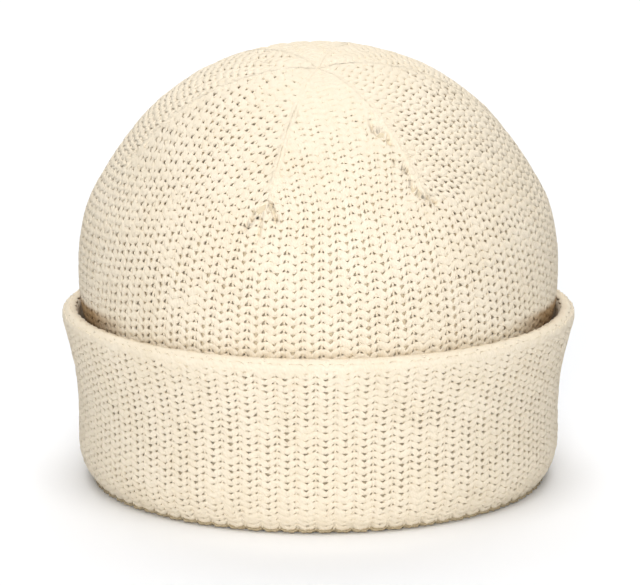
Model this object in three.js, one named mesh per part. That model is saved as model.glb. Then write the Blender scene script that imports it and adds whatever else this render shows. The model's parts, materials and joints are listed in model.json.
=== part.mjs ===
// A fisherman beanie in thick cream rib knit: a darted crown and a turned-up double cuff.
// Millimetres, +Z up, the front towards -Y, standing on the cuff's bottom fold at z = 0.
import * as THREE from "three";
import { mergeVertices } from "three/addons/utils/BufferGeometryUtils.js";

// Driving sizes
const hatHeight = 169.0;
const bodyRadius = 92.4;
const knitThickness = 3.4;
const cuffHeight = 68.1;
const cuffThickness = 6.2;
const lipStandOff = 2.0;
const foldHeight = 7.0;
const footWidth = 2.8;
const clearance = 0.3;

// Ribs: one wale is one rib from valley to valley
const waleCount = 82;
const crownRibDepth = 1.2;
const cuffRibDepth = 1.6;

// Waist: how far the crown draws in behind the cuff's lip at the sides, with its height and
// spread as shares of the cuff's height
const waistDepth = 1.2;
const waistHeight = 0.875;
const waistSpread = 0.16;

// The darts and the gather that they run to
const firstSeamDegrees = -14.6;
const gatherForward = 28;
const gatherRadius = 7;
const gatherDepth = 1.2;
const seamDepth = 0.5;
const tipArcMean = 93;
const tipArcSwing = 7;
const forwardLean = 0.12;
const waleLossPower = 1.15;

// Wales in each gore, anticlockwise from the front left seam, seen from above
const gores = [
  { name: "front", wales: 11 },
  { name: "right", wales: 15 },
  { name: "back right", wales: 14 },
  { name: "back", wales: 14 },
  { name: "back left", wales: 14 },
  { name: "left", wales: 14 },
];

// Crown over its ribs: height as a share of the hat's, reach as a share of the body's radius
const crownProfile = [
  { rise: 0.0355, reach: 0.936 },
  { rise: 0.1106, reach: 0.936 },
  { rise: 0.1814, reach: 0.937 },
  { rise: 0.2572, reach: 0.946 },
  { rise: 0.333, reach: 0.973 },
  { rise: 0.4027, reach: 0.995 },
  { rise: 0.4745, reach: 1.0 },
  { rise: 0.5553, reach: 0.993 },
  { rise: 0.6362, reach: 0.96 },
  { rise: 0.712, reach: 0.888 },
  { rise: 0.7827, reach: 0.8 },
  { rise: 0.8484, reach: 0.7 },
  { rise: 0.904, reach: 0.577 },
  { rise: 0.9444, reach: 0.453 },
  { rise: 0.9747, reach: 0.305 },
  { rise: 0.9929, reach: 0.155 },
  { rise: 1.0, reach: 0.0 },
  { rise: 0.9929, reach: -0.155 },
];

// Cuff outside, from the foot up and over the lip: height as a share of the cuff's,
// plump as a share of the whole wall, stand as a share of the lip's stand-off
const cuffOutside = [
  { rise: 0.0, plump: 0.33, stand: 0 },
  { rise: 0.03, plump: 0.47, stand: 0 },
  { rise: 0.08, plump: 0.73, stand: 0 },
  { rise: 0.15, plump: 0.91, stand: 0 },
  { rise: 0.23, plump: 1.0, stand: 0 },
  { rise: 0.435, plump: 0.995, stand: 0 },
  { rise: 0.64, plump: 1.0, stand: 0.1 },
  { rise: 0.815, plump: 1.0, stand: 0.25 },
  { rise: 0.918, plump: 0.97, stand: 0.6 },
  { rise: 0.964, plump: 0.87, stand: 0.9 },
  { rise: 1.0, plump: 0.54, stand: 1.0 },
  { rise: 0.98, plump: 0.27, stand: 1.0 },
];

// Cuff inside, from the lip down to the fold: how far it stands off the crown
const cuffInside = [
  { rise: 0.918, stand: 0.2 },
  { rise: 0.815, stand: 0.15 },
  { rise: 0.64, stand: 0.1 },
  { rise: 0.385, stand: 0 },
];

// Levels up the fabric: -1 hem, 0 height of the lip, 1 dart tips, 2 gather
const bodyLevels = [-1, -0.62, -0.34, -0.2, -0.09, 0, 0.1, 0.25, 0.5, 0.75];
const domeLevels = [1, 1.1, 1.21, 1.33, 1.45, 1.57, 1.68, 1.78, 1.87, 1.94, 1.98];

const hem = foldHeight;
const columnCount = 2 * waleCount;
const waleAngle = (2 * Math.PI) / waleCount;
const wholeWall = knitThickness + clearance + cuffThickness;

const mix = THREE.MathUtils.lerp;
const clamp = THREE.MathUtils.clamp;

const profileCurve = new THREE.SplineCurve(
  crownProfile.map(({ rise, reach }) => new THREE.Vector2(reach * bodyRadius, rise * hatHeight)),
);

// Samples of the profile with their arc length from the top of the dome
function sampleProfile(steps) {
  const samples = [];
  for (let i = 0; i <= steps; i += 1) {
    const t = (i / steps) * (1 - 1 / (crownProfile.length - 1));
    samples.push({ point: profileCurve.getPoint(t), arc: 0 });
  }
  for (let i = steps - 1; i >= 0; i -= 1) {
    samples[i].arc = samples[i + 1].arc + samples[i].point.distanceTo(samples[i + 1].point);
  }
  return samples;
}

const profile = sampleProfile(600);

// Linear look-up along the samples, by whatever falls or rises steadily along them
function lookUp(key, wanted) {
  let low = 0;
  let high = profile.length - 1;
  const rising = key(profile[high]) > key(profile[low]);
  while (high - low > 1) {
    const middle = (low + high) >> 1;
    if (key(profile[middle]) < wanted === rising) low = middle;
    else high = middle;
  }
  const a = profile[low];
  const b = profile[high];
  const share = clamp((wanted - key(a)) / (key(b) - key(a)), 0, 1);
  const tangent = b.point.clone().sub(a.point).normalize();
  return {
    radius: mix(a.point.x, b.point.x, share),
    height: mix(a.point.y, b.point.y, share),
    arc: mix(a.arc, b.arc, share),
    normal: new THREE.Vector2(tangent.y, -tangent.x),
  };
}

const atArc = (arc) => lookUp((sample) => sample.arc, arc);
const atHeight = (height) => lookUp((sample) => sample.point.y, Math.max(height, hem));

const hemArc = atHeight(hem).arc;
const lipArc = atHeight(cuffHeight).arc;

// A point of the crown's fabric, laid flat as distance from the top of the dome and angle
function bodyPlan(turn, level) {
  const lean = forwardLean * Math.max(level, 0) * Math.sin(turn);
  const angle = turn - lean;
  const tipArc = tipArcMean + tipArcSwing * Math.cos(turn);
  const arc = level < 0 ? mix(lipArc, hemArc, -level) : mix(lipArc, tipArc, level);
  return new THREE.Vector2(arc * Math.sin(angle), -arc * Math.cos(angle));
}

function fabricPlan(turn, level) {
  const gather = new THREE.Vector2(0, -gatherForward);
  return level <= 1 ? bodyPlan(turn, level) : bodyPlan(turn, 1).lerp(gather, level - 1);
}

// How far the crown draws in at a height and an angle: most at the sides, not at all in front
function waistAt(height, angle) {
  const away = (height / cuffHeight - waistHeight) / waistSpread;
  return waistDepth * Math.exp(-(away ** 2)) * Math.sin(angle) ** 2;
}

// The plan point on the crown's surface, sunk along the normal
function onCrown(plan, sink) {
  const at = atArc(plan.length());
  const angle = Math.atan2(plan.x, -plan.y);
  const radius = at.radius - sink * at.normal.x - waistAt(at.height, angle);
  const height = at.height - sink * at.normal.y;
  return new THREE.Vector3(radius * Math.sin(angle), -radius * Math.cos(angle), height);
}

// The gores' spans of angle, each with its middle and half width
function spanGores() {
  let start = THREE.MathUtils.degToRad(firstSeamDegrees);
  return gores.map(({ wales }) => {
    const half = (wales * waleAngle) / 2;
    const span = { middle: start + half, half, columns: 2 * wales };
    start += 2 * half;
    return span;
  });
}

// One ring of the crown's outside, with wales lost into the seams above the tips: the crown's crests are
// the cuff's valleys, since the cuff shows the fabric's other face
function crownRing(level) {
  const left = level > 1 ? (2 - level) ** waleLossPower : 1;
  const ring = [];
  for (const { middle, half, columns } of spanGores()) {
    for (let i = 0; i < columns; i += 1) {
      const across = (2 * i) / columns - 1;
      const kept = clamp(across / left, -1, 1);
      const plan = fabricPlan(middle + kept * half, level);
      const inSeam = level >= 1 && Math.abs(kept) === 1;
      const rib = inSeam ? seamDepth : (i % 2) * crownRibDepth;
      const fromGather = plan.distanceTo(new THREE.Vector2(0, -gatherForward));
      const dimple = gatherDepth * Math.exp(-((fromGather / gatherRadius) ** 2));
      ring.push(onCrown(plan, rib + dimple));
    }
  }
  return ring;
}

// A plain round ring, for the smooth inner faces
function roundRing(radius, height, count) {
  const start = THREE.MathUtils.degToRad(firstSeamDegrees);
  const ring = [];
  for (let i = 0; i < count; i += 1) {
    const angle = start + (2 * Math.PI * i) / count;
    ring.push(new THREE.Vector3(radius * Math.sin(angle), -radius * Math.cos(angle), height));
  }
  return ring;
}

// A ribbed ring of the cuff: valleys lie on the even columns, below the crests
function cuffRing(radius, height, sinkRadius, sinkHeight) {
  return roundRing(1, 0, columnCount).map((spoke, i) => {
    const valley = 1 - (i % 2);
    const reach = radius - valley * sinkRadius;
    return new THREE.Vector3(spoke.x * reach, spoke.y * reach, height - valley * sinkHeight);
  });
}

// Triangles between two rings; the longer ring may hold a whole number of points for each of the other's
function bandBetween(lower, upper) {
  const triangles = [];
  const fine = lower.length >= upper.length ? lower : upper;
  const coarse = fine === lower ? upper : lower;
  const ratio = fine.length / coarse.length;
  const flip = fine !== lower;
  const add = (a, b, c) => triangles.push(...(flip ? [a, c, b] : [a, b, c]));
  for (let j = 0; j < coarse.length; j += 1) {
    const near = coarse[j];
    const next = coarse[(j + 1) % coarse.length];
    for (let k = 0; k < ratio; k += 1) {
      const a = fine[j * ratio + k];
      const b = fine[(j * ratio + k + 1) % fine.length];
      add(a, b, near);
    }
    add(fine[((j + 1) * ratio) % fine.length], next, near);
  }
  return triangles;
}

// Closes a ring to one point above it, facing up
function capAbove(ring, top) {
  return ring.flatMap((point, i) => [point, ring[(i + 1) % ring.length], top]);
}

// Triangles to one closed geometry, without the slivers where wales run out
function closedGeometry(triangles) {
  const soup = new THREE.BufferGeometry().setFromPoints(triangles);
  const welded = mergeVertices(soup, 1e-3);
  const index = welded.index.array;
  const kept = [];
  for (let i = 0; i < index.length; i += 3) {
    const [a, b, c] = [index[i], index[i + 1], index[i + 2]];
    if (a !== b && b !== c && c !== a) kept.push(a, b, c);
  }
  welded.setIndex(kept);
  welded.computeVertexNormals();
  return welded;
}

// Rings in order round a wall, joined each to the next
function bandsThrough(rings) {
  return rings.slice(1).flatMap((ring, i) => bandBetween(rings[i], ring));
}

// The crown: ribbed outside up to the gather, smooth inside back down to the hem
function crownGeometry() {
  const outside = [...bodyLevels, ...domeLevels].map(crownRing);
  const gather = onCrown(new THREE.Vector2(0, -gatherForward), gatherDepth + seamDepth);
  const innerArcs = [6, 22, 40, 58, 76, 94, 114].map((arc) => (arc * lipArc) / 150);
  const innerHeights = [cuffHeight, 0.72 * cuffHeight, 0.45 * cuffHeight, hem];
  const arcs = [...innerArcs, ...innerHeights.map((height) => atHeight(height).arc)];
  const inside = arcs.map((arc) => {
    const at = atArc(arc);
    const radius = at.radius - knitThickness * at.normal.x;
    const height = arc === arcs[arcs.length - 1] ? hem : at.height - knitThickness * at.normal.y;
    return roundRing(1, height, waleCount / 2).map((spoke) => {
      const reach = radius - waistAt(at.height, Math.atan2(spoke.x, -spoke.y));
      return new THREE.Vector3(spoke.x * reach, spoke.y * reach, height);
    });
  });
  const innerTop = new THREE.Vector3(0, 0, hatHeight - knitThickness);
  const wall = bandsThrough([...inside, ...outside]);
  const innerCap = capAbove(inside[0], innerTop).reverse();
  return closedGeometry([...wall, ...innerCap, ...capAbove(outside[outside.length - 1], gather)]);
}

// The cuff: foot, outside, lip and inside, as one wall that closes on itself
function cuffGeometry() {
  const hatInside = (height) => atHeight(height).radius - knitThickness;
  const outside = cuffOutside.map(({ rise, plump, stand }, i) => {
    const height = rise * cuffHeight;
    const radius = hatInside(height) + plump * wholeWall + stand * lipStandOff;
    const before = cuffOutside[Math.max(i - 1, 0)];
    const after = cuffOutside[Math.min(i + 1, cuffOutside.length - 1)];
    const run = (after.plump - before.plump) * wholeWall + (after.stand - before.stand) * lipStandOff;
    const normal = new THREE.Vector2((after.rise - before.rise) * cuffHeight, -run).normalize();
    const sinkHeight = rise === 0 ? 0 : cuffRibDepth * normal.y;
    return cuffRing(radius, height, cuffRibDepth * normal.x, sinkHeight);
  });
  const inside = cuffInside.map(({ rise, stand }) => {
    const height = rise * cuffHeight;
    const radius = atHeight(height).radius + clearance + stand * lipStandOff;
    return roundRing(radius, height, waleCount);
  });
  const ledge = foldHeight - clearance;
  const innerRadius = hatInside(hem);
  const fold = [
    roundRing(atHeight(hem).radius + clearance, ledge, waleCount),
    roundRing(innerRadius, ledge, waleCount),
    roundRing(innerRadius, foldHeight / 3, waleCount),
  ];
  const footInner = innerRadius + cuffOutside[0].plump * wholeWall - footWidth;
  const foot = roundRing(footInner, 0, waleCount);
  const rings = [foot, ...outside, ...inside, ...fold, foot];
  return closedGeometry(bandsThrough(rings));
}

const knit = { roughness: 0.95, metalness: 0 };

const crown = new THREE.Mesh(crownGeometry(), new THREE.MeshStandardMaterial({ color: 0xf1e6cd, ...knit }));
crown.name = "crown";

const cuff = new THREE.Mesh(cuffGeometry(), new THREE.MeshStandardMaterial({ color: 0xede2c9, ...knit }));
cuff.name = "cuff";

const beanie = new THREE.Group();
beanie.add(crown, cuff);

export default beanie;
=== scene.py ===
import json
import math

import bpy
import numpy as np
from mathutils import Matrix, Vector

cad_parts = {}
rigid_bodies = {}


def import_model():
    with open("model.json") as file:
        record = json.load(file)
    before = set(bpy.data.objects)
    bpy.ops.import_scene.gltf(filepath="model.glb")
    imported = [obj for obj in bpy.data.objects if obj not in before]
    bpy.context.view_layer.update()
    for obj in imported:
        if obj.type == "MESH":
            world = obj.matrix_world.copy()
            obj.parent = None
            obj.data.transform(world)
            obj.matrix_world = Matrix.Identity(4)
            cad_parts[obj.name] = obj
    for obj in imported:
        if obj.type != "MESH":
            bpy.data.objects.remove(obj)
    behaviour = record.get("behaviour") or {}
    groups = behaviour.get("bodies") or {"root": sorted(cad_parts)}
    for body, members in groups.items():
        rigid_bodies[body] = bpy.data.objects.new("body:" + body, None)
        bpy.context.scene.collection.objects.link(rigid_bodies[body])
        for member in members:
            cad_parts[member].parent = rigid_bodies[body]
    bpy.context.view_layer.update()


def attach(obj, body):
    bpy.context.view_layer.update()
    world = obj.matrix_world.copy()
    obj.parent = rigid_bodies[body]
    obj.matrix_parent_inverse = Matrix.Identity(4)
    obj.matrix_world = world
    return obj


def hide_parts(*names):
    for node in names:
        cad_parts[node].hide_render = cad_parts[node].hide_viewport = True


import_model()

# Sizes of the hat, in millimetres
HAT_HEIGHT = 169.0
BODY_RADIUS = 92.4
KNIT = 3.4
CUFF_HEIGHT = 68.1
CUFF_WALL = 6.2
LIP_STAND_OFF = 2.0
FOLD_HEIGHT = 7.0
CLEARANCE = 0.3
WALES = 82
WAIST_DEPTH = 1.2
WAIST_HEIGHT = 0.875
WAIST_SPREAD = 0.16
FIRST_SEAM = math.radians(-14.6)
GATHER = np.array([0.0, -28.0])
GATHER_RADIUS = 7.0
GATHER_DEPTH = 1.2
TIP_ARC_MEAN = 93.0
TIP_ARC_SWING = 7.0
FORWARD_LEAN = 0.12
WALE_LOSS = 1.15
WALE_ANGLE = 2 * math.pi / WALES
WHOLE_WALL = KNIT + CLEARANCE + CUFF_WALL

# Gores, anticlockwise from the front left seam: wales, row pitch above the dart tips, how many rows
# the gore's straight rows gain at its edges over rings round the top, and how open the stitches are
GORES = [
    {"name": "front", "wales": 11, "pitch": 3.1, "chord": 2.0, "loose": 0.78},
    {"name": "right", "wales": 15, "pitch": 3.15, "chord": 1.0, "loose": 0.85},
    {"name": "back_right", "wales": 14, "pitch": 3.3, "chord": 1.0, "loose": 0.8},
    {"name": "back", "wales": 14, "pitch": 3.3, "chord": 1.0, "loose": 0.8},
    {"name": "back_left", "wales": 14, "pitch": 3.3, "chord": 1.0, "loose": 0.8},
    {"name": "left", "wales": 14, "pitch": 3.7, "chord": 0.0, "loose": 0.85},
]

# Crown over its ribs: rise as a share of the hat's height, reach as a share of the body's radius
CROWN_PROFILE = [
    (0.0355, 0.936),
    (0.1106, 0.936),
    (0.1814, 0.937),
    (0.2572, 0.946),
    (0.333, 0.973),
    (0.4027, 0.995),
    (0.4745, 1.0),
    (0.5553, 0.993),
    (0.6362, 0.96),
    (0.712, 0.888),
    (0.7827, 0.8),
    (0.8484, 0.7),
    (0.904, 0.577),
    (0.9444, 0.453),
    (0.9747, 0.305),
    (0.9929, 0.155),
    (1.0, 0.0),
    (0.9929, -0.155),
]

# Cuff outside, from the foot up and over the lip: rise, plump as a share of the wall, stand
CUFF_OUTSIDE = [
    (0.0, 0.33, 0.0),
    (0.03, 0.47, 0.0),
    (0.08, 0.73, 0.0),
    (0.15, 0.91, 0.0),
    (0.23, 1.0, 0.0),
    (0.435, 0.995, 0.0),
    (0.64, 1.0, 0.1),
    (0.815, 1.0, 0.25),
    (0.918, 0.97, 0.6),
    (0.964, 0.87, 0.9),
    (1.0, 0.54, 1.0),
    (0.98, 0.27, 1.0),
]

# Cuff inside, from the lip down to where the crown hides it: rise, stand
CUFF_INSIDE = [(0.918, 0.2), (0.815, 0.15)]

# Knitting: pitch and number of rows, the cuff's turn against the crown, and how far below the lip the
# stitches start and the hem lies, with 0 at the lip and -1 at the hem
BODY_PITCH = 3.25
CUFF_ROWS = 27
CUFF_SHIFT = 0.2 * WALE_ANGLE
CROWN_START_LEVEL = -0.16
HEM_LEVEL = -1.0
SEED = 11

# How far the tube of knitting is tipped, as shares of the body's radius: forward, sideways, twisted
ROWS_FORWARD = 0.278
ROWS_ASIDE = -0.09
ROWS_TWISTED = 0.08

# Spread of the strands: how open they stand and how far at most, their size, and their place and
# height in millimetres
OPEN_SPREAD = 0.42
OPEN_MOST = 1.5
SIZE_SPREAD = 0.03
PLACE_SPREAD = 0.06
HEIGHT_SPREAD = 0.04


def mix(a, b, share):
    """A value a share of the way from a to b."""
    return a + (b - a) * share


def catmull_rom(points, first, last, steps):
    """Points of a uniform Catmull-Rom curve between two of its control points."""
    pts = np.array(points, float)
    out = []
    for i in range(first, last):
        p0, p1 = pts[max(i - 1, 0)], pts[i]
        p2, p3 = pts[i + 1], pts[min(i + 2, len(pts) - 1)]
        t = np.linspace(0, 1, steps, endpoint=False)[:, None]
        v0, v1 = (p2 - p0) / 2, (p3 - p1) / 2
        out.append(
            (2 * p1 - 2 * p2 + v0 + v1) * t**3
            + (-3 * p1 + 3 * p2 - 2 * v0 - v1) * t**2
            + v0 * t
            + p1
        )
    return np.concatenate(out + [pts[last : last + 1]])


def run_along(curve):
    """The length along a curve up to each of its points."""
    step = np.hypot(*np.diff(curve, axis=0).T)
    return np.concatenate([[0.0], np.cumsum(step)])


# The crown's profile from the hem to the top, with its arc length from the top
profile_points = [(reach * BODY_RADIUS, rise * HAT_HEIGHT) for rise, reach in CROWN_PROFILE]
profile = catmull_rom(profile_points, 0, len(CROWN_PROFILE) - 2, 40)
profile_arc = run_along(profile)[-1] - run_along(profile)
slope = np.gradient(profile, profile_arc, axis=0)
slope /= np.hypot(*slope.T)[:, None]
ARC, RADIUS, HEIGHT = profile_arc[::-1], profile[::-1, 0], profile[::-1, 1]
NORMAL = np.stack([-slope[:, 1], slope[:, 0]], 1)[::-1]


def radius_at_height(height):
    """The crown's radius at a height, the hem's below it."""
    return np.interp(np.maximum(height, FOLD_HEIGHT), profile[:, 1], profile[:, 0])


def arc_at_height(height):
    return float(np.interp(height, profile[:, 1], profile_arc))


HEM_ARC = arc_at_height(FOLD_HEIGHT)
LIP_ARC = arc_at_height(CUFF_HEIGHT)


def waist_at(height, turn):
    """How far the crown draws in behind the lip: most at the sides, not at all in front."""
    away = (height / CUFF_HEIGHT - WAIST_HEIGHT) / WAIST_SPREAD
    return WAIST_DEPTH * np.exp(-(away**2)) * np.sin(turn) ** 2


def on_crown(plan):
    """Points of the crown's outer surface and their normals, from the plan."""
    arc = np.hypot(plan[..., 0], plan[..., 1])
    turn = np.arctan2(plan[..., 0], -plan[..., 1])
    radius, height = np.interp(arc, ARC, RADIUS), np.interp(arc, ARC, HEIGHT)
    out, up = np.interp(arc, ARC, NORMAL[:, 0]), np.interp(arc, ARC, NORMAL[:, 1])
    radius = radius - waist_at(height, turn)
    point = np.stack([radius * np.sin(turn), -radius * np.cos(turn), height], -1)
    normal = np.stack([out * np.sin(turn), -out * np.cos(turn), up], -1)
    from_gather = np.hypot(plan[..., 0] - GATHER[0], plan[..., 1] - GATHER[1])
    dimple = GATHER_DEPTH * np.exp(-((from_gather / GATHER_RADIUS) ** 2))
    normal /= np.linalg.norm(normal, axis=-1, keepdims=True)
    return point - normal * dimple[..., None], normal


def body_plan(turn, level):
    """Plan points on the tube, from the hem at -1 over the lip at 0 to the dart tips at 1."""
    angle = turn - FORWARD_LEAN * np.maximum(level, 0) * np.sin(turn)
    tip = TIP_ARC_MEAN + TIP_ARC_SWING * np.cos(turn)
    arc = np.where(level < 0, mix(LIP_ARC, HEM_ARC, -level), mix(LIP_ARC, tip, level))
    return np.stack([arc * np.sin(angle), -arc * np.cos(angle)], -1)


def fabric_plan(turn, level):
    """Plan points on the whole crown, from the hem at -1 to the gather at 2."""
    share = np.maximum(level - 1, 0)[..., None]
    return mix(body_plan(turn, np.minimum(level, 1)), GATHER, share)


def row_at_lip(turn):
    """The row of knitting at the lip, round the hat: the tube of knitting is tipped."""
    fall = ROWS_FORWARD * (1 - np.cos(turn)) + ROWS_ASIDE * np.sin(turn) + ROWS_TWISTED * np.sin(2 * turn)
    return -fall * BODY_RADIUS / BODY_PITCH


def row_at_tips(turn):
    """The row of knitting at the dart tips."""
    return row_at_lip(turn) + (LIP_ARC - TIP_ARC_MEAN - TIP_ARC_SWING * np.cos(turn)) / BODY_PITCH


def gore_spans():
    """Each gore with the angle of its middle and half its angle."""
    start = FIRST_SEAM
    spans = []
    for gore in GORES:
        half = gore["wales"] * WALE_ANGLE / 2
        spans.append((gore, start + half, half))
        start += 2 * half
    return spans


def gore_lattice(gore, middle, half, start_level):
    """A gore's columns at every half row: plan points, levels, how near to a seam, whether the column
    reaches the row, and the first half row's number."""
    columns = 2 * gore["wales"]
    across = np.linspace(-1, 1, columns + 1)
    level = np.concatenate([np.linspace(start_level, 1, 120), np.linspace(1, 2, 400)[1:]])
    tip = fabric_plan(np.array(middle), np.array(1.0))
    top_row = row_at_tips(middle) + np.hypot(*(tip - GATHER)) / gore["pitch"]
    left = np.clip(2 - level, 1e-4, 1) ** WALE_LOSS
    kept = np.clip(across[:, None] / left[None], -1, 1)
    turn = middle + kept * half
    low = np.minimum(level, 1)
    body_row = row_at_lip(turn) - mix(0, HEM_ARC - LIP_ARC, -np.minimum(low, 0)) / BODY_PITCH
    body_row += np.maximum(low, 0) * (row_at_tips(turn) - row_at_lip(turn))
    share = np.maximum(level - 1, 0)
    chord = gore["chord"] * (kept**2 - 1 / 3) * np.clip(share * 5, 0, 1) * (1 - share)
    row = mix(body_row, top_row, share) + chord
    row = np.maximum.accumulate(row, axis=1)
    first = int(math.ceil(2 * row[:, 0].min()))
    last = int(math.floor(2 * top_row))
    halves = np.arange(first, last + 1)
    levels = np.stack([np.interp(halves / 2, row[c], level) for c in range(columns + 1)])
    alive = (halves[None] / 2) >= row[:, :1] - 0.01
    turns = np.clip(across[:, None] / np.clip(2 - levels, 1e-4, 1) ** WALE_LOSS, -1, 1)
    plan = fabric_plan(middle + turns * half, levels)
    return plan, levels, np.abs(turns), alive, first


def make_mesh(name, verts, faces, sizes, uvs, normals=None):
    """A mesh object from millimetre points, a flat list of corners and the face sizes."""
    mesh = bpy.data.meshes.new(name)
    mesh.vertices.add(len(verts))
    mesh.vertices.foreach_set("co", (verts * 0.001).astype(np.float32).ravel())
    mesh.loops.add(len(faces))
    mesh.loops.foreach_set("vertex_index", faces.astype(np.int32))
    mesh.polygons.add(len(sizes))
    starts = np.concatenate([[0], np.cumsum(sizes)[:-1]])
    mesh.polygons.foreach_set("loop_start", starts.astype(np.int32))
    mesh.polygons.foreach_set("loop_total", np.asarray(sizes, np.int32))
    mesh.polygons.foreach_set("use_smooth", np.ones(len(sizes), bool))
    layer = mesh.uv_layers.new(name="UVMap")
    layer.data.foreach_set("uv", uvs.astype(np.float32).ravel())
    mesh.update(calc_edges=True)
    mesh.validate()
    if normals is not None:
        mesh.normals_split_custom_set_from_vertices(normals.astype(np.float32))
    obj = bpy.data.objects.new(name, mesh)
    bpy.context.scene.collection.objects.link(obj)
    return obj


def section_of(angles, squareness):
    """The cross-section of a strand, across it and over it, at some angles."""
    c, s = np.cos(np.radians(angles)), np.sin(np.radians(angles))
    power = 2 / squareness
    return np.sign(c) * np.abs(c) ** power, np.sign(s) * np.abs(s) ** power


# A rounded back over a point below, and a plain diamond for the small knots
SECTION = section_of([270, 344, 50, 130, 196], 2.9)
LOW_SECTION = section_of([270, 0, 90, 180], 2.0)

# Stations along a leg from its top in the valley to its foot on the crest, and along the small knot
# between two legs: place along it, width open and closed as shares, thickness as a share, and depth
# as a share of the valley's
LEG = [
    (-0.15, 0.0, 0.0, 0.0, 1.0),
    (0.05, 0.59, 0.84, 0.75, 0.80),
    (0.27, 0.64, 0.92, 0.92, 0.40),
    (0.46, 1.0, 1.0, 1.0, 0.10),
    (0.68, 1.0, 1.0, 1.0, 0.0),
    (0.87, 0.60, 0.95, 0.97, 0.02),
    (1.04, 0.48, 0.92, 0.90, 0.08),
    (1.30, 0.0, 0.0, 0.0, 0.75),
]
CUFF_LEG = [
    (-0.15, 0.0, 0.0, 0.0, 1.0),
    (0.05, 0.64, 0.84, 0.75, 0.80),
    (0.25, 0.70, 0.92, 0.92, 0.40),
    (0.42, 1.0, 1.0, 1.0, 0.10),
    (0.64, 1.0, 1.0, 1.0, 0.0),
    (0.85, 0.66, 0.95, 0.97, 0.02),
    (1.04, 0.56, 0.92, 0.90, 0.08),
    (1.30, 0.0, 0.0, 0.0, 0.75),
]
BUMP = [
    (-0.62, 0.0, 0.0, 0.0, 0.6),
    (-0.3, 0.9, 0.9, 0.9, 0.1),
    (0.3, 0.9, 0.9, 0.9, 0.1),
    (0.62, 0.0, 0.0, 0.0, 0.6),
]


def unit(v):
    """Vectors of length 1."""
    return v / (np.linalg.norm(v, axis=-1, keepdims=True) + 1e-12)


def strands(start, end, n_start, n_end, side, half_width, half_depth, valley, loose, table, section, rng):
    """Tapered strands lying in the surface, one for each pair of points."""
    count = len(start)
    along, wide_open, wide_shut, thick, sunk = (np.array(column) for column in zip(*table))
    loose = np.clip(loose * rng.normal(1, OPEN_SPREAD, count), 0, OPEN_MOST)[:, None]
    valley = np.broadcast_to(valley, (count,))[:, None]
    wide = mix(wide_shut[None], wide_open[None], loose)
    shift = rng.normal(0, PLACE_SPREAD, (count, 1, 3))
    grow = 1 + rng.normal(0, SIZE_SPREAD, (count, 1))
    lift = rng.normal(0, HEIGHT_SPREAD, (count, 1))
    half_depth = np.broadcast_to(half_depth, (count,))[:, None]
    normal = unit(mix(n_start[:, None], n_end[:, None], np.clip(along, 0, 1)[None, :, None]))
    centre = mix(start[:, None], end[:, None], along[None, :, None]) + shift
    depth = half_depth + valley * sunk[None] - lift
    centre = centre - normal * depth[..., None]
    side = unit(side)[:, None]
    w = half_width[:, None] * wide * grow
    d = half_depth * thick[None] * grow
    across, over = section
    rings = centre[:, 1:-1, None]
    rings = rings + side[:, :, None] * (w[:, 1:-1, None] * across)[..., None]
    rings = rings + normal[:, 1:-1, None] * (d[:, 1:-1, None] * over)[..., None]
    ring_count, sides = len(table) - 2, len(across)
    body = rings.reshape(count, ring_count * sides, 3)
    verts = np.concatenate([body, centre[:, :1], centre[:, -1:]], 1)
    facing = side[:, :, None] * (SOFTNESS * across / np.maximum(w[:, 1:-1, None], 0.1))[..., None]
    facing = facing + normal[:, 1:-1, None] * (over / np.maximum(d[:, 1:-1, None], 0.1))[..., None]
    facing = unit(facing.reshape(count, ring_count * sides, 3))
    lengthways = unit(end - start)[:, None]
    tips = unit(np.concatenate([normal[:, :1] - lengthways, normal[:, -1:] + lengthways], 1))
    per = ring_count * sides + 2
    corners, sizes, uvs = [], [], []
    for r in range(ring_count - 1):
        for s in range(sides):
            t = (s + 1) % sides
            corners += [r * sides + s, (r + 1) * sides + s, (r + 1) * sides + t, r * sides + t]
            sizes.append(4)
            near, far = along[r + 1], along[r + 2]
            v, w2 = s / sides, (s + 1) / sides
            uvs += [(near, v), (far, v), (far, w2), (near, w2)]
    for s in range(sides):
        t = (s + 1) % sides
        v, w2 = s / sides, (s + 1) / sides
        corners += [s, t, per - 2]
        uvs += [(along[1], v), (along[1], w2), (along[0], (v + w2) / 2)]
        corners += [(ring_count - 1) * sides + t, (ring_count - 1) * sides + s, per - 1]
        uvs += [(along[-2], w2), (along[-2], v), (along[-1], (v + w2) / 2)]
        sizes += [3, 3]
    faces = (np.array(corners)[None] + per * np.arange(count)[:, None]).ravel()
    flip = np.einsum("ij,ij->i", np.cross(side[:, 0], normal[:, 1]), end - start) > 0
    return {
        "verts": verts.reshape(-1, 3),
        "normals": np.concatenate([facing, tips], 1).reshape(-1, 3),
        "faces": wound(faces, np.array(sizes), count, flip),
        "sizes": np.tile(sizes, count),
        "uvs": np.tile(uvs, (count, 1)),
    }


def wound(faces, sizes, count, flip):
    """The same faces, turned over for the strands that lie the other way round."""
    corners = faces.reshape(count, -1).copy()
    turned, start = [], 0
    for size in sizes:
        turned += [start + size - 1 - i for i in range(size)]
        start += size
    corners[flip] = corners[flip][:, turned]
    return corners.ravel()


def joined(parts):
    """Several mesh arrays as one."""
    base, verts, faces = 0, [], []
    for part in parts:
        verts.append(part["verts"])
        faces.append(part["faces"] + base)
        base += len(part["verts"])
    soft = all("normals" in part for part in parts)
    return (
        np.concatenate(verts),
        np.concatenate(faces),
        np.concatenate([part["sizes"] for part in parts]),
        np.concatenate([part["uvs"] for part in parts]),
        np.concatenate([part["normals"] for part in parts]) if soft else None,
    )


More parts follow.
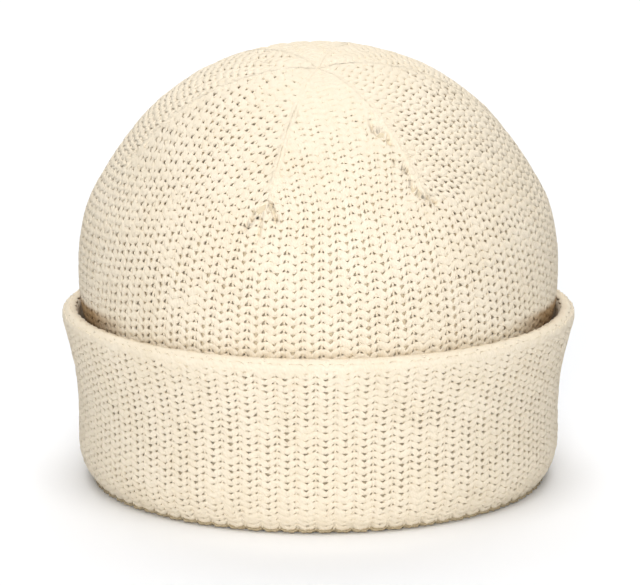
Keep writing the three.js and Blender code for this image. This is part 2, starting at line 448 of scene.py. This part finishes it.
# Legs and knots: half thickness and depth of the valleys in millimetres, half width as a share of a
# row, and how far the shading follows a strand's roundness across it
LEG_DEPTH = 0.85
CUFF_DEPTH = 0.75
CROWN_VALLEY = 0.4
CUFF_VALLEY = 0.35
KNOT_SINK = 0.9
LEG_WIDTH = 0.70
BUMP_WIDTH = 0.17
CROWN_KNOT = {"long": 1.6, "depth": 0.6}
CUFF_KNOT = {"long": 1.4, "depth": 0.55, "wider": 1.2}
KNOT_VALLEY = 0.5
SOFTNESS = 1.1

# How open the stitches stand: the left and right leg, what the sides gain, how much the rows near the
# gather lose and over what distance, and the shortest leg as a share of a rib's half width
LEFT_OPEN = 1.12
RIGHT_OPEN = 0.8
SIDE_OPEN = 0.95
TOP_CLOSED = 0.6
TOP_REACH = 34.0
SHORTEST_LEG = 0.28

# The seams' doubled stitches: pitch, half width, half depth and valley, and stations as for a leg
SEAM_PITCH = 3.2
SEAM_WIDTH = 2.0
SEAM_DEPTH = 0.9
SEAM_VALLEY = 0.7
SEAM = [
    (-0.15, 0.0, 0.0, 0.0, 0.9),
    (0.05, 0.75, 0.75, 0.85, 0.3),
    (0.35, 1.0, 1.0, 1.0, 0.0),
    (0.75, 1.0, 1.0, 1.0, 0.0),
    (1.05, 0.75, 0.75, 0.85, 0.3),
    (1.25, 0.0, 0.0, 0.0, 0.9),
]


def side_open(point):
    """The stitches stand more open towards the sides of the hat."""
    reach = np.hypot(point[..., 0], point[..., 1]) + 1e-6
    return 1 + SIDE_OPEN * (point[..., 0] / reach) ** 2


def looseness(gore, level, point):
    """How open the stitches stand: tighter above the dart tips and round the gather."""
    above = np.clip((level - 0.75) / 0.5, 0, 1)
    away = np.linalg.norm(point - on_crown(GATHER)[0], axis=-1)
    near_top = np.clip(1.25 - away / TOP_REACH, 0, 1)
    return mix(1.0, gore["loose"], above) * (1 - TOP_CLOSED * near_top)


def seam_chain(turn, rng):
    """The line of doubled stitches where two gores meet, from the dart's tip up to the gather."""
    level = np.linspace(0.98, 1.97, 4000)
    plan = fabric_plan(np.full(len(level), turn), level)
    point, normal = on_crown(plan)
    run = np.concatenate([[0], np.cumsum(np.linalg.norm(np.diff(point, axis=0), axis=1))])
    at = np.arange(0.0, run[-1] - SEAM_PITCH, SEAM_PITCH)
    near = np.stack([np.interp(at, run, point[:, i]) for i in range(3)], 1)
    far = np.stack([np.interp(at + 1.15 * SEAM_PITCH, run, point[:, i]) for i in range(3)], 1)
    n = unit(np.stack([np.interp(at, run, normal[:, i]) for i in range(3)], 1))
    side = np.cross(far - near, n)
    width = np.full(len(at), SEAM_WIDTH) * np.clip(0.45 + at / 12, 0, 1)
    shut = np.zeros(len(at))
    return strands(near, far, n, n, side, width, SEAM_DEPTH, SEAM_VALLEY, shut, SEAM, SECTION, rng)


def crown_gore(gore, middle, half, rng):
    """A gore's knitting: valleys on the odd columns, crests on the even ones."""
    plan, levels, spread, alive, first = gore_lattice(gore, middle, half, CROWN_START_LEVEL)
    point, normal = on_crown(plan)
    columns, halves = plan.shape[0], plan.shape[1]
    full = math.pi * BODY_RADIUS / WALES
    starts, ends, n0, n1, sides, pitches, loose = [], [], [], [], [], [], []
    bumps = []
    slack = looseness(gore, levels, point)
    for a in range(1, columns, 2):
        for k in range(1, halves - 1):
            if (first + k) % 2 or not alive[a, k]:
                continue
            wale = point[a, k + 1] - point[a, k - 1]
            for b in (a - 1, a + 1):
                if not alive[b, k] or np.linalg.norm(point[a, k + 1] - point[b, k]) < SHORTEST_LEG * full:
                    continue
                starts.append(point[a, k + 1])
                ends.append(point[b, k])
                n0.append(normal[a, k + 1])
                n1.append(normal[b, k])
                sides.append(unit(wale) + unit(point[b, k + 1] - point[b, k - 1]))
                pitches.append(np.linalg.norm(wale))
                open_share = (LEFT_OPEN if b < a else RIGHT_OPEN) * side_open(point[b, k])
                loose.append(slack[b, k] * open_share)
            if spread[a, k] < 0.97:
                bumps.append((point[a, k], normal[a, k], wale))
    starts, ends, n0, n1, sides = (np.array(x) for x in (starts, ends, n0, n1, sides))
    legs = strands(starts, ends, n0, n1, sides, LEG_WIDTH * np.array(pitches), LEG_DEPTH, CROWN_VALLEY,
                   np.array(loose), LEG, SECTION, rng)
    at, n, wale = (np.array(x) for x in zip(*bumps))
    at = at - n * (CROWN_VALLEY * KNOT_SINK)
    pitch = np.linalg.norm(wale, axis=1)
    knots = strands(at, at + unit(wale) * CROWN_KNOT["long"], n, n, np.cross(wale, n), BUMP_WIDTH * pitch,
                    CROWN_KNOT["depth"], KNOT_VALLEY, np.ones(len(at)), BUMP, LOW_SECTION, rng)
    verts, faces, sizes, uvs, normals = joined([legs, knots, seam_chain(middle - half, rng)])
    verts, normals = creased(verts, normals)
    return verts, faces, sizes, uvs, normals


# Creases of the crown: depth (below 0 for a ridge) and width in millimetres, and the points that they
# run through, each as degrees from the front and millimetres from the top of the dome
CREASES = [
    (-0.6, 1.6, [(-13.2, 96.6), (-12.4, 85.8), (-11.0, 76.2), (-10.4, 69.6), (-8.5, 58.9)]),
    (2.8, 0.7, [(-12.5, 98.1), (-14.5, 99.5), (-15.5, 100.7), (-17.9, 106.8)]),
    (2.3, 0.6, [(-12.5, 98.1), (-10.9, 102.7), (-10.1, 106.1)]),
    (1.6, 0.6, [(-14.4, 101.5), (-14.4, 110.2)]),
    (2.6, 0.6, [(19.2, 63.4), (19.0, 67.4), (23.1, 70.8), (23.6, 74.0)]),
    (2.8, 0.6, [(23.1, 81.7), (26.3, 86.3)]),
    (2.4, 0.6, [(26.5, 90.4), (26.5, 93.5)]),
    (2.8, 0.6, [(27.6, 94.9), (31.9, 99.5)]),
    (0.9, 0.8, [(11.2, 24.5), (24.6, 25.3)]),
    (1.0, 0.8, [(-55.9, 26.0), (-41.0, 28.6)]),
]


def creased(verts, normals):
    """The same points and normals, drawn in or lifted along the creases."""
    verts, normals = verts.copy(), normals.copy()
    for depth, width, points in CREASES:
        turn, arc = np.radians([p[0] for p in points]), np.array([p[1] for p in points])
        plan = np.stack([arc * np.sin(turn), -arc * np.cos(turn)], -1)
        run = run_along(plan)
        at = np.linspace(0, run[-1], int(run[-1] / 0.4) + 2)
        finer = np.stack([np.interp(at, run, plan[:, 0]), np.interp(at, run, plan[:, 1])], -1)
        line, normal = on_crown(finer)
        near = np.nonzero(np.linalg.norm(verts - line.mean(0), axis=1) < run[-1] / 2 + 3 * width + 3)[0]
        if not len(near):
            continue
        away = np.linalg.norm(verts[near, None] - line[None], axis=-1)
        which = away.argmin(1)
        apart = verts[near] - line[which]
        apart -= normal[which] * np.einsum("ij,ij->i", apart, normal[which])[:, None]
        share = np.exp(-((np.linalg.norm(apart, axis=1) / width) ** 2))
        verts[near] -= normal[which] * (depth * share)[:, None]
        normals[near] = unit(normals[near] - apart * (2 * depth * share / width**2)[:, None])
    return verts, normals


# The lip: its smooth band, how deep the roll lies under the stitches there and what it gains away from
# the lip, and how far past the lip the turned part starts, whose tan yarn is painted shade
LIP_BAND = 5.6
LIP_SINK = 0.1
LIP_SINK_GAIN = 0.9
LIP_TURNS = 4.2
LIP_CLOSED = 0.6
KNOTS_END = 0.4

# The foot: what the valleys gain there and over what length, and the height to which the turned fold
# shows below the stitches, in the tan yarn of painted shade
FOOT_VALLEY = 1.0
FOOT_REACH = 3.5
FOLD_SHOWS = 1.5


def cuff_curve():
    """The cuff's outline from its inner foot, round the outside, over the lip and down the inside."""
    inside = radius_at_height(0.0) - KNIT
    points = [(inside, 3.4), (inside + 0.45, 0.6)]
    for rise, plump, stand in CUFF_OUTSIDE:
        height = rise * CUFF_HEIGHT
        wall = radius_at_height(height) - KNIT + plump * WHOLE_WALL
        points.append((wall + stand * LIP_STAND_OFF, height))
    for rise, stand in CUFF_INSIDE:
        height = rise * CUFF_HEIGHT
        points.append((radius_at_height(height) + CLEARANCE + stand * LIP_STAND_OFF, height))
    return catmull_rom(points, 0, len(points) - 1, 30)


def cuff_knit(rng):
    """The cuff's knitting in bands: valleys on the even columns, crests on the odd ones."""
    curve = cuff_curve()
    run = run_along(curve)
    tangent = np.gradient(curve, run, axis=0)
    tangent /= np.hypot(*tangent.T)[:, None]
    outward = np.stack([tangent[:, 1], -tangent[:, 0]], 1)
    foot = run[int(np.argmin(curve[:, 1]))]
    lip = run[int(np.argmax(curve[:, 1]))]
    pitch = (lip - foot) / CUFF_ROWS
    low = int(math.ceil(-(foot - run[0]) / pitch * 2))
    high = int(math.floor((run[-1] - foot) / pitch * 2))
    halves = np.arange(low, high + 1)
    at = foot + halves * pitch / 2
    radius, height = np.interp(at, run, curve[:, 0]), np.interp(at, run, curve[:, 1])
    out, up = np.interp(at, run, outward[:, 0]), np.interp(at, run, outward[:, 1])
    angle = FIRST_SEAM + CUFF_SHIFT + np.arange(2 * WALES) * WALE_ANGLE / 2
    sin, cos = np.sin(angle)[:, None], -np.cos(angle)[:, None]
    shape = (2 * WALES, len(at))
    point = np.stack([radius * sin, radius * cos, np.broadcast_to(height, shape)], -1)
    normal = unit(np.stack([out * sin, out * cos, np.broadcast_to(up, shape)], -1))
    near_lip = 1 / (1 + np.abs((at - lip) / LIP_BAND) ** 6)
    rib = CUFF_VALLEY * (1 - LIP_CLOSED * near_lip)
    rib = rib + FOOT_VALLEY * np.exp(-(((at - foot) / FOOT_REACH) ** 2))
    outer_foot = float(np.interp(FOLD_SHOWS, curve[:, 1][run > foot][:400], run[run > foot][:400]))
    crest = np.arange(1, 2 * WALES, 2)
    valley = np.arange(0, 2 * WALES, 2)
    bands = {name: ([], []) for name in ("turned", "low", "middle", "high")}
    for k in range(1, len(halves) - 1):
        if halves[k] % 2:
            continue
        # Rows under the foot and inside the lip go in the turned band, whose tan yarn is painted shade
        if at[k] < outer_foot or at[k] > lip + LIP_TURNS:
            legs, knots = bands["turned"]
        else:
            third = int(np.clip(halves[k] * 3 // (2 * CUFF_ROWS), 0, 2))
            legs, knots = bands[("low", "middle", "high")[third]]
        for side in (-1, 1):
            a = (crest + side) % (2 * WALES)
            wale = point[crest, k + 1] - point[crest, k - 1]
            open_share = (LEFT_OPEN if side > 0 else RIGHT_OPEN) * side_open(point[crest, k])
            legs.append((point[a, k + 1], point[crest, k], normal[a, k + 1], normal[crest, k], wale,
                         (1 - near_lip[k]) * open_share, np.full(WALES, rib[k])))
        if near_lip[k] < KNOTS_END:
            knots.append((point[valley, k], normal[valley, k], point[valley, k + 1] - point[valley, k - 1]))
    result = {}
    for band, (legs, knots) in bands.items():
        s, e, n0, n1, wale, loose, depth = (np.concatenate(x) for x in zip(*legs))
        parts = [strands(s, e, n0, n1, wale, np.full(len(s), LEG_WIDTH * pitch), CUFF_DEPTH, depth, loose,
                         CUFF_LEG, SECTION, rng)]
        if knots:
            at_b, n, wale = (np.concatenate(x) for x in zip(*knots))
            at_b = at_b - n * (KNOT_SINK * CUFF_VALLEY)
            parts.append(strands(at_b, at_b + unit(wale) * CUFF_KNOT["long"], n, n, np.cross(wale, n),
                                 np.full(len(at_b), BUMP_WIDTH * pitch * CUFF_KNOT["wider"]),
                                 CUFF_KNOT["depth"], KNOT_VALLEY, np.ones(len(at_b)), BUMP, LOW_SECTION, rng))
        verts, *rest = joined(parts)
        verts[:, 2] = np.maximum(verts[:, 2], 0.0)
        result[band] = (verts, *rest)
    return result


def lip_roll():
    """The close, smooth turn of knit under the lip's stitches."""
    curve = cuff_curve()
    run = run_along(curve)
    lip = run[int(np.argmax(curve[:, 1]))]
    at = np.linspace(lip - 1.2 * LIP_BAND, run[-1], 16)
    tangent = np.gradient(curve, run, axis=0)
    tangent /= np.hypot(*tangent.T)[:, None]
    sink = LIP_SINK + LIP_SINK_GAIN * np.clip((lip - at) / (1.2 * LIP_BAND), 0, 1) ** 3
    r = np.interp(at, run, curve[:, 0]) - sink * np.interp(at, run, tangent[:, 1])
    z = np.interp(at, run, curve[:, 1]) + sink * np.interp(at, run, tangent[:, 0])
    faces, uvs = ring_faces(len(at), 2 * WALES, False)
    return ring_surface(r, z, 2 * WALES).reshape(-1, 3), faces, np.full(len(faces) // 4, 4), uvs


def ring_surface(radii, heights, count):
    """Points of rings round the vertical axis."""
    angle = np.linspace(0, 2 * math.pi, count, endpoint=False)
    r, z = np.asarray(radii)[:, None], np.asarray(heights)[:, None]
    return np.stack([r * np.sin(angle), -r * np.cos(angle), np.broadcast_to(z, (len(radii), count))], -1)


def ring_faces(rings, count, closed):
    """Quads between rings, wound so that rings going up on the outside face outward."""
    faces, uvs = [], []
    pairs = [(i, i + 1) for i in range(rings - 1)] + ([(rings - 1, 0)] if closed else [])
    for i, j in pairs:
        a = np.arange(count)
        b = (a + 1) % count
        faces.append(np.stack([i * count + a, i * count + b, j * count + b, j * count + a], 1))
        u = a / count
        near, far = np.full(count, i / rings), np.full(count, (i + 1) / rings)
        corner = np.stack([np.stack([u, near], 1), np.stack([u + 1 / count, near], 1),
                           np.stack([u + 1 / count, far], 1), np.stack([u, far], 1)], 1)
        uvs.append(corner.reshape(-1, 2))
    return np.concatenate(faces).ravel(), np.concatenate(uvs)


# How deep the walls lie behind the stitches' surface, in millimetres
VALLEY_SINK = 2.3
CREST_SINK = 1.1
SEAM_SINK = 0.9
CUFF_SINK = 1.6
CUFF_FOOT_SINK = 0.9


def gore_lining(gore, middle, half):
    """The face under a gore's strands: deep between the ribs and shallow under their crests."""
    plan, _, spread, _, _ = gore_lattice(gore, middle, half, HEM_LEVEL)
    plan, spread = plan[:, 1::2], spread[:, 1::2]
    point, normal = on_crown(plan)
    columns, rows = spread.shape
    odd = (np.arange(columns) % 2)[:, None]
    sink = np.where(spread > 0.95, SEAM_SINK, mix(CREST_SINK, VALLEY_SINK, odd))
    verts = (point - normal * sink[..., None]).reshape(-1, 3)
    i, j = np.meshgrid(np.arange(columns - 1), np.arange(rows - 1), indexing="ij")
    near = i * rows + j
    faces = np.stack([near, near + rows, near + rows + 1, near + 1], -1).reshape(-1, 4)
    return {"verts": verts, "faces": faces.ravel(), "sizes": np.full(len(faces), 4),
            "uvs": np.zeros((faces.size, 2))}


def crown_lining():
    """The wall behind the crown's stitches: the face under the strands, the hem and the inner face."""
    parts = [gore_lining(*span) for span in gore_spans()]
    arcs = np.linspace(6, HEM_ARC, 56)
    radius, height = np.interp(arcs, ARC, RADIUS), np.interp(arcs, ARC, HEIGHT)
    out, up = np.interp(arcs, ARC, NORMAL[:, 0]), np.interp(arcs, ARC, NORMAL[:, 1])
    count = 2 * WALES
    turn = np.linspace(0, 2 * math.pi, count, endpoint=False)
    reach = (radius - KNIT * out)[:, None] - waist_at(height[:, None], turn[None])
    hem = radius[-1:, None] - CREST_SINK - waist_at(height[-1:, None], turn[None])
    reach = np.concatenate([reach, hem])
    level = np.concatenate([height - KNIT * up, [FOLD_HEIGHT]])[:, None] + 0 * turn
    level[-2] = FOLD_HEIGHT
    inner = np.stack([reach * np.sin(turn), -reach * np.cos(turn), level], -1)
    away = np.linalg.norm(inner - on_crown(GATHER)[0], axis=-1)
    inner[..., 2] -= GATHER_DEPTH * np.exp(-((away / GATHER_RADIUS) ** 2))
    faces, uvs = ring_faces(len(inner), count, False)
    rim = np.arange(count)
    cap = np.stack([rim, np.full(count, inner[..., 0].size), (rim + 1) % count], 1).ravel()
    top = [[0, 0, HAT_HEIGHT - KNIT]]
    parts.append({"verts": np.concatenate([inner.reshape(-1, 3), top]), "faces": np.concatenate([faces, cap]),
                  "sizes": np.concatenate([np.full(len(faces) // 4, 4), np.full(count, 3)]),
                  "uvs": np.concatenate([uvs, np.zeros((len(cap), 2))])})
    verts, faces, sizes, uvs, _ = joined(parts)
    return creased(verts, np.zeros_like(verts))[0], faces, sizes, uvs


# The gather's cap: its reach, its pucker, and how deep it lies in the middle and what the rim gains
GATHER_CAP = 8.5
GATHER_PUCKER = 0.22
GATHER_FOLDS = 12
GATHER_TWIST = 3
GATHER_SINK = 0.35
GATHER_RIM_SINK = 1.5


def gather_cap():
    """The small puckered round of knit where the gores are drawn together."""
    rings, spokes = 12, 72
    away = np.linspace(0, GATHER_CAP, rings)[:, None]
    turn = np.linspace(0, 2 * math.pi, spokes, endpoint=False)[None]
    plan = np.stack([GATHER[0] + away * np.sin(turn), GATHER[1] - away * np.cos(turn)], -1)
    point, normal = on_crown(plan)
    share = away / GATHER_CAP
    pucker = GATHER_PUCKER * np.sin(GATHER_FOLDS * turn + GATHER_TWIST * share) * np.sin(math.pi * share)
    sink = GATHER_SINK + GATHER_RIM_SINK * share**3 - pucker
    verts = (point - normal * sink[..., None]).reshape(-1, 3)
    faces, uvs = ring_faces(rings, spokes, False)
    faces = faces.reshape(-1, 4)[:, ::-1].ravel()
    uvs = uvs.reshape(-1, 4, 2)[:, ::-1].reshape(-1, 2)
    return verts, faces, np.full(len(faces) // 4, 4), uvs


def cuff_lining():
    """The wall behind the cuff's stitches, closed round the fold."""
    curve = cuff_curve()
    run = run_along(curve)
    at = np.linspace(0, run[-1], 64)
    tangent = np.gradient(curve, run, axis=0)
    tangent /= np.hypot(*tangent.T)[:, None]
    # Near the foot the wall lies closer behind the stitches; its darker cream is painted shade
    depth = np.where(np.interp(at, run, curve[:, 1]) < FOLD_SHOWS + 0.6, CUFF_FOOT_SINK, CUFF_SINK)
    r = np.interp(at, run, curve[:, 0]) - depth * np.interp(at, run, tangent[:, 1])
    z = np.interp(at, run, curve[:, 1]) + depth * np.interp(at, run, tangent[:, 0])
    z = np.maximum(z, 0.3)
    heights = (0.62 * CUFF_HEIGHT, 0.4 * CUFF_HEIGHT, FOLD_HEIGHT - CLEARANCE)
    low = [(radius_at_height(h) + CLEARANCE, h) for h in heights]
    ledge = [(radius_at_height(0.0) - KNIT + CUFF_SINK, FOLD_HEIGHT - CLEARANCE)]
    r = np.concatenate([r, [p[0] for p in low + ledge]])
    z = np.concatenate([z, [p[1] for p in low + ledge]])
    verts = ring_surface(r, z, 2 * WALES).reshape(-1, 3)
    faces, uvs = ring_faces(len(r), 2 * WALES, True)
    return verts, faces, np.full(len(faces) // 4, 4), uvs


# Colours of the yarn, pale and deep: at the face; painted shade in brown in the fold behind the lip; painted
# shade in tan on the turned part; and painted shade in a darker cream on the walls behind the stitches
CREAM = (0.91, 0.815, 0.66)
DEEP_CREAM = (0.85, 0.745, 0.575)
PAINTED_FOLD_SHADE_BROWN = (0.40, 0.26, 0.13)
TURNED_PAINTED_SHADE_TAN = (0.56, 0.46, 0.30)
DEEP_TURNED_PAINTED_SHADE_TAN = (0.48, 0.39, 0.25)
SHADED_UNDER_CREAM = (0.72, 0.63, 0.47)
DEEP_SHADED_UNDER_CREAM = (0.62, 0.53, 0.38)

# Where the crown's yarn takes the brown of painted shade behind the lip, by height and by distance from the
# middle, in metres
PAINTED_SHADE_TOP = 0.0745
PAINTED_SHADE_FULL = 0.0710
PAINTED_SHADE_FRONT = 0.072
PAINTED_SHADE_SIDE = 0.085


# The yarn: turns of the ply along a strand and round it, relief of ply and fuzz, the bump, sizes of the
# noises, the shares between which the colour turns from deep to pale, and the surface
PLY_TWIST = 3.2
PLY_ROUND = 4.0
PLY_RELIEF = 0.5
FUZZ_RELIEF = 1.1
BUMP_STRENGTH = 0.28
BUMP_DISTANCE = 0.00025
FUZZ = (1400.0, 5.0)
CLOUD = (55.0, 3.0)
FLECK = (420.0, 3.0)
DEEP_AT = 0.32
PALE_AT = 0.68
YARN_ROUGHNESS = 0.92
YARN_SPECULAR = 0.1
YARN_SHEEN = 0.03
SHEEN_ROUGHNESS = 0.5


def node_material(name):
    """A new material with its nodes, links and shader."""
    material = bpy.data.materials.new(name)
    material.use_nodes = True
    nodes, links = material.node_tree.nodes, material.node_tree.links
    return material, nodes, links, nodes["Principled BSDF"]


def math_node(nodes, links, operation, a, b=None):
    """The output of a math node on sockets or numbers."""
    node = nodes.new("ShaderNodeMath")
    node.operation = operation
    for i, value in enumerate((a, b)):
        if value is None:
            continue
        if isinstance(value, (int, float)):
            node.inputs[i].default_value = value
        else:
            links.new(value, node.inputs[i])
    return node.outputs[0]


def noise_node(nodes, links, coordinate, scale, detail):
    node = nodes.new("ShaderNodeTexNoise")
    node.inputs["Scale"].default_value = scale
    node.inputs["Detail"].default_value = detail
    links.new(coordinate, node.inputs["Vector"])
    return node.outputs["Fac"]


def wool(name, pale, deep, fold_shade_colour=None):
    """Soft plied yarn: twisted plies along each strand, fuzz and uneven colour, with a painted shade colour
    in the fold behind the lip.
    """
    material, nodes, links, shader = node_material(name)
    coordinate = nodes.new("ShaderNodeTexCoord")
    split = nodes.new("ShaderNodeSeparateXYZ")
    links.new(coordinate.outputs["UV"], split.inputs[0])
    twist = math_node(nodes, links, "MULTIPLY", split.outputs[0], PLY_TWIST)
    turn = math_node(nodes, links, "MULTIPLY", split.outputs[1], PLY_ROUND)
    phase = math_node(nodes, links, "MULTIPLY", math_node(nodes, links, "ADD", twist, turn), 2 * math.pi)
    ply = math_node(nodes, links, "MULTIPLY", math_node(nodes, links, "SINE", phase), PLY_RELIEF)
    fuzz = noise_node(nodes, links, coordinate.outputs["Object"], *FUZZ)
    height = math_node(nodes, links, "ADD", ply, math_node(nodes, links, "MULTIPLY", fuzz, FUZZ_RELIEF))
    bump = nodes.new("ShaderNodeBump")
    bump.inputs["Strength"].default_value = BUMP_STRENGTH
    bump.inputs["Distance"].default_value = BUMP_DISTANCE
    links.new(height, bump.inputs["Height"])
    links.new(bump.outputs["Normal"], shader.inputs["Normal"])
    cloud = noise_node(nodes, links, coordinate.outputs["Object"], *CLOUD)
    fleck = noise_node(nodes, links, coordinate.outputs["Object"], *FLECK)
    share = math_node(nodes, links, "ADD", math_node(nodes, links, "MULTIPLY", cloud, 0.5),
                      math_node(nodes, links, "MULTIPLY", fleck, 0.5))
    ramp = nodes.new("ShaderNodeValToRGB")
    first, last = ramp.color_ramp.elements
    first.position, first.color = DEEP_AT, (*deep, 1)
    last.position, last.color = PALE_AT, (*pale, 1)
    links.new(share, ramp.inputs["Fac"])
    colour = ramp.outputs["Color"]
    # Painted shade: low down at the sides, where the lip shades the crown, its yarn turns brown
    if fold_shade_colour:
        place = nodes.new("ShaderNodeSeparateXYZ")
        links.new(coordinate.outputs["Object"], place.inputs[0])
        low = nodes.new("ShaderNodeMapRange")
        low.interpolation_type = "SMOOTHSTEP"
        low.inputs["From Min"].default_value = PAINTED_SHADE_TOP
        low.inputs["From Max"].default_value = PAINTED_SHADE_FULL
        links.new(place.outputs[2], low.inputs["Value"])
        aside = nodes.new("ShaderNodeMapRange")
        aside.inputs["From Min"].default_value = PAINTED_SHADE_FRONT
        aside.inputs["From Max"].default_value = PAINTED_SHADE_SIDE
        links.new(math_node(nodes, links, "ABSOLUTE", place.outputs[0]), aside.inputs["Value"])
        blend = nodes.new("ShaderNodeMix")
        blend.data_type = "RGBA"
        painted_shade_mask = math_node(nodes, links, "MULTIPLY", low.outputs[0], aside.outputs[0])
        links.new(painted_shade_mask, blend.inputs["Factor"])
        links.new(colour, blend.inputs["A"])
        blend.inputs["B"].default_value = (*fold_shade_colour, 1)
        colour = blend.outputs["Result"]
    links.new(colour, shader.inputs["Base Color"])
    shader.inputs["Roughness"].default_value = YARN_ROUGHNESS
    shader.inputs["Specular IOR Level"].default_value = YARN_SPECULAR
    shader.inputs["Sheen Weight"].default_value = YARN_SHEEN
    shader.inputs["Sheen Roughness"].default_value = SHEEN_ROUGHNESS
    return material


def plain(name, colour, roughness):
    """A matt material of one colour."""
    material, _, _, shader = node_material(name)
    shader.inputs["Base Color"].default_value = (*colour, 1)
    shader.inputs["Roughness"].default_value = roughness
    shader.inputs["Specular IOR Level"].default_value = 0.1
    return material


yarn = wool("cream_yarn", CREAM, DEEP_CREAM)
# The crown's yarn is browned behind the lip at the sides as painted shade
crown_yarn_painted_shade = wool("cream_yarn_crown_painted_shade", CREAM, DEEP_CREAM, PAINTED_FOLD_SHADE_BROWN)
# Painted shade: the turned yarn is tan for the foot's underside and the lip's inner face
turned = wool("cream_yarn_turned_painted_shade", TURNED_PAINTED_SHADE_TAN, DEEP_TURNED_PAINTED_SHADE_TAN)
# Painted shade: the walls behind the stitches and the inner face are a darker cream
under = wool("cream_underside_painted_shade", SHADED_UNDER_CREAM, DEEP_SHADED_UNDER_CREAM)


def add_piece(name, data, material, replaces=()):
    """A piece of the hat on its one body, and the plain solids that it replaces."""
    piece = make_mesh(name, *data)
    piece.data.materials.append(material)
    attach(piece, "root")
    for node in replaces:
        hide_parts(node)
    return piece


rng = np.random.default_rng(SEED)
for gore, middle, half in gore_spans():
    add_piece("crown_" + gore["name"] + "_gore", crown_gore(gore, middle, half, rng), crown_yarn_painted_shade)
add_piece("crown_gather", gather_cap(), yarn)
# The turned band's piece is in the tan yarn of painted shade
for band, data in cuff_knit(rng).items():
    add_piece("cuff_knit_" + band, data, turned if band == "turned" else yarn)
add_piece("cuff_lip_roll", lip_roll(), yarn)
add_piece("crown_inner_wall", crown_lining(), under, ["crown"])
add_piece("cuff_inner_wall", cuff_lining(), under, ["cuff"])

# Floor, light and camera: the floor just under the hat, the sky's strength from the sides, and what the
# sky gains from the front and the top
FLOOR_SIZE = 6.0
FLOOR_HEIGHT = -0.0002
FLOOR_COLOUR = (0.945, 0.955, 0.975)
SKY_SIDES = 0.13
SKY_FRONT = 0.28
SKY_TOP = 0.22
bpy.ops.mesh.primitive_plane_add(size=FLOOR_SIZE, location=(0, 0, FLOOR_HEIGHT))
floor = bpy.context.active_object
floor.name = "floor"
floor.data.materials.append(plain("pale_floor", FLOOR_COLOUR, 0.9))


def soft_light(name, location, target, size, power, colour):
    """A round soft light that faces a point: place and size in metres, power in watts."""
    data = bpy.data.lights.new(name, "AREA")
    data.shape = "DISK"
    data.size = size
    data.energy = power
    data.color = colour
    light = bpy.data.objects.new(name, data)
    bpy.context.scene.collection.objects.link(light)
    light.location = location
    away = light.location - Vector(target)
    light.rotation_euler = away.to_track_quat("Z", "Y").to_euler()


soft_light("key_light", (-0.05, -1.9, 0.70), (0, 0, 0.08), 0.6, 18.2, (1.0, 0.99, 0.98))
soft_light("top_light", (0, -0.6, 2.2), (0, 0, 0.1), 1.5, 21.0, (1.0, 1.0, 1.0))
soft_light("floor_light", (0, 1.6, 1.7), (0, 1.4, 0), 2.2, 29.0, (1.0, 1.0, 1.0))

world = bpy.data.worlds.new("studio")
bpy.context.scene.world = world
world.use_nodes = True
world_nodes, world_links = world.node_tree.nodes, world.node_tree.links
background = world_nodes["Background"]
background.inputs["Color"].default_value = (1, 1, 1, 1)
direction = world_nodes.new("ShaderNodeSeparateXYZ")
world_links.new(world_nodes.new("ShaderNodeTexCoord").outputs["Generated"], direction.inputs[0])
glow = SKY_SIDES
for output, sign, strength in ((1, -1.0, SKY_FRONT), (2, 1.0, SKY_TOP)):
    facing = math_node(world_nodes, world_links, "MULTIPLY", direction.outputs[output], sign)
    facing = math_node(world_nodes, world_links, "MAXIMUM", facing, 0.0)
    facing = math_node(world_nodes, world_links, "POWER", facing, 2.0)
    facing = math_node(world_nodes, world_links, "MULTIPLY", facing, strength)
    glow = math_node(world_nodes, world_links, "ADD", facing, glow)
world_links.new(glow, background.inputs["Strength"])
bpy.context.scene.view_settings.view_transform = "Standard"

# The camera: the picture's size, the focal length and the point where the hat's centre falls, in pixels
# from the picture's left and top, and how far off and how high the camera is
PICTURE_WIDTH = 640
PICTURE_HEIGHT = 585
CAMERA_DISTANCE = 1.5
CAMERA_RISE = math.radians(12.43)
FOCAL_PIXELS = 3887.0
HAT_CENTRE_X = 318.3
HAT_CENTRE_Y = 288.7
AIM_HEIGHT = 0.0732
SENSOR_WIDTH = 36.0
camera_data = bpy.data.cameras.new("camera")
camera = bpy.data.objects.new("camera", camera_data)
bpy.context.scene.collection.objects.link(camera)
back, up = CAMERA_DISTANCE * math.cos(CAMERA_RISE), CAMERA_DISTANCE * math.sin(CAMERA_RISE)
camera.location = (0, -back, AIM_HEIGHT + up)
camera.rotation_euler = (math.pi / 2 - CAMERA_RISE, 0, 0)
camera_data.sensor_width = SENSOR_WIDTH
camera_data.lens = FOCAL_PIXELS / PICTURE_WIDTH * SENSOR_WIDTH
camera_data.shift_x = (PICTURE_WIDTH / 2 - HAT_CENTRE_X) / PICTURE_WIDTH
camera_data.shift_y = (HAT_CENTRE_Y - PICTURE_HEIGHT / 2) / PICTURE_WIDTH
camera_data.clip_start = 0.05
bpy.context.scene.camera = camera

bpy.context.view_layer.update()
total = 0
for o in bpy.context.scene.objects:
    if o.type == "MESH" and not o.hide_render:
        triangles = sum(len(p.vertices) - 2 for p in o.data.polygons)
        total += triangles
        print("piece", o.name, triangles)
print("triangles in all", total)
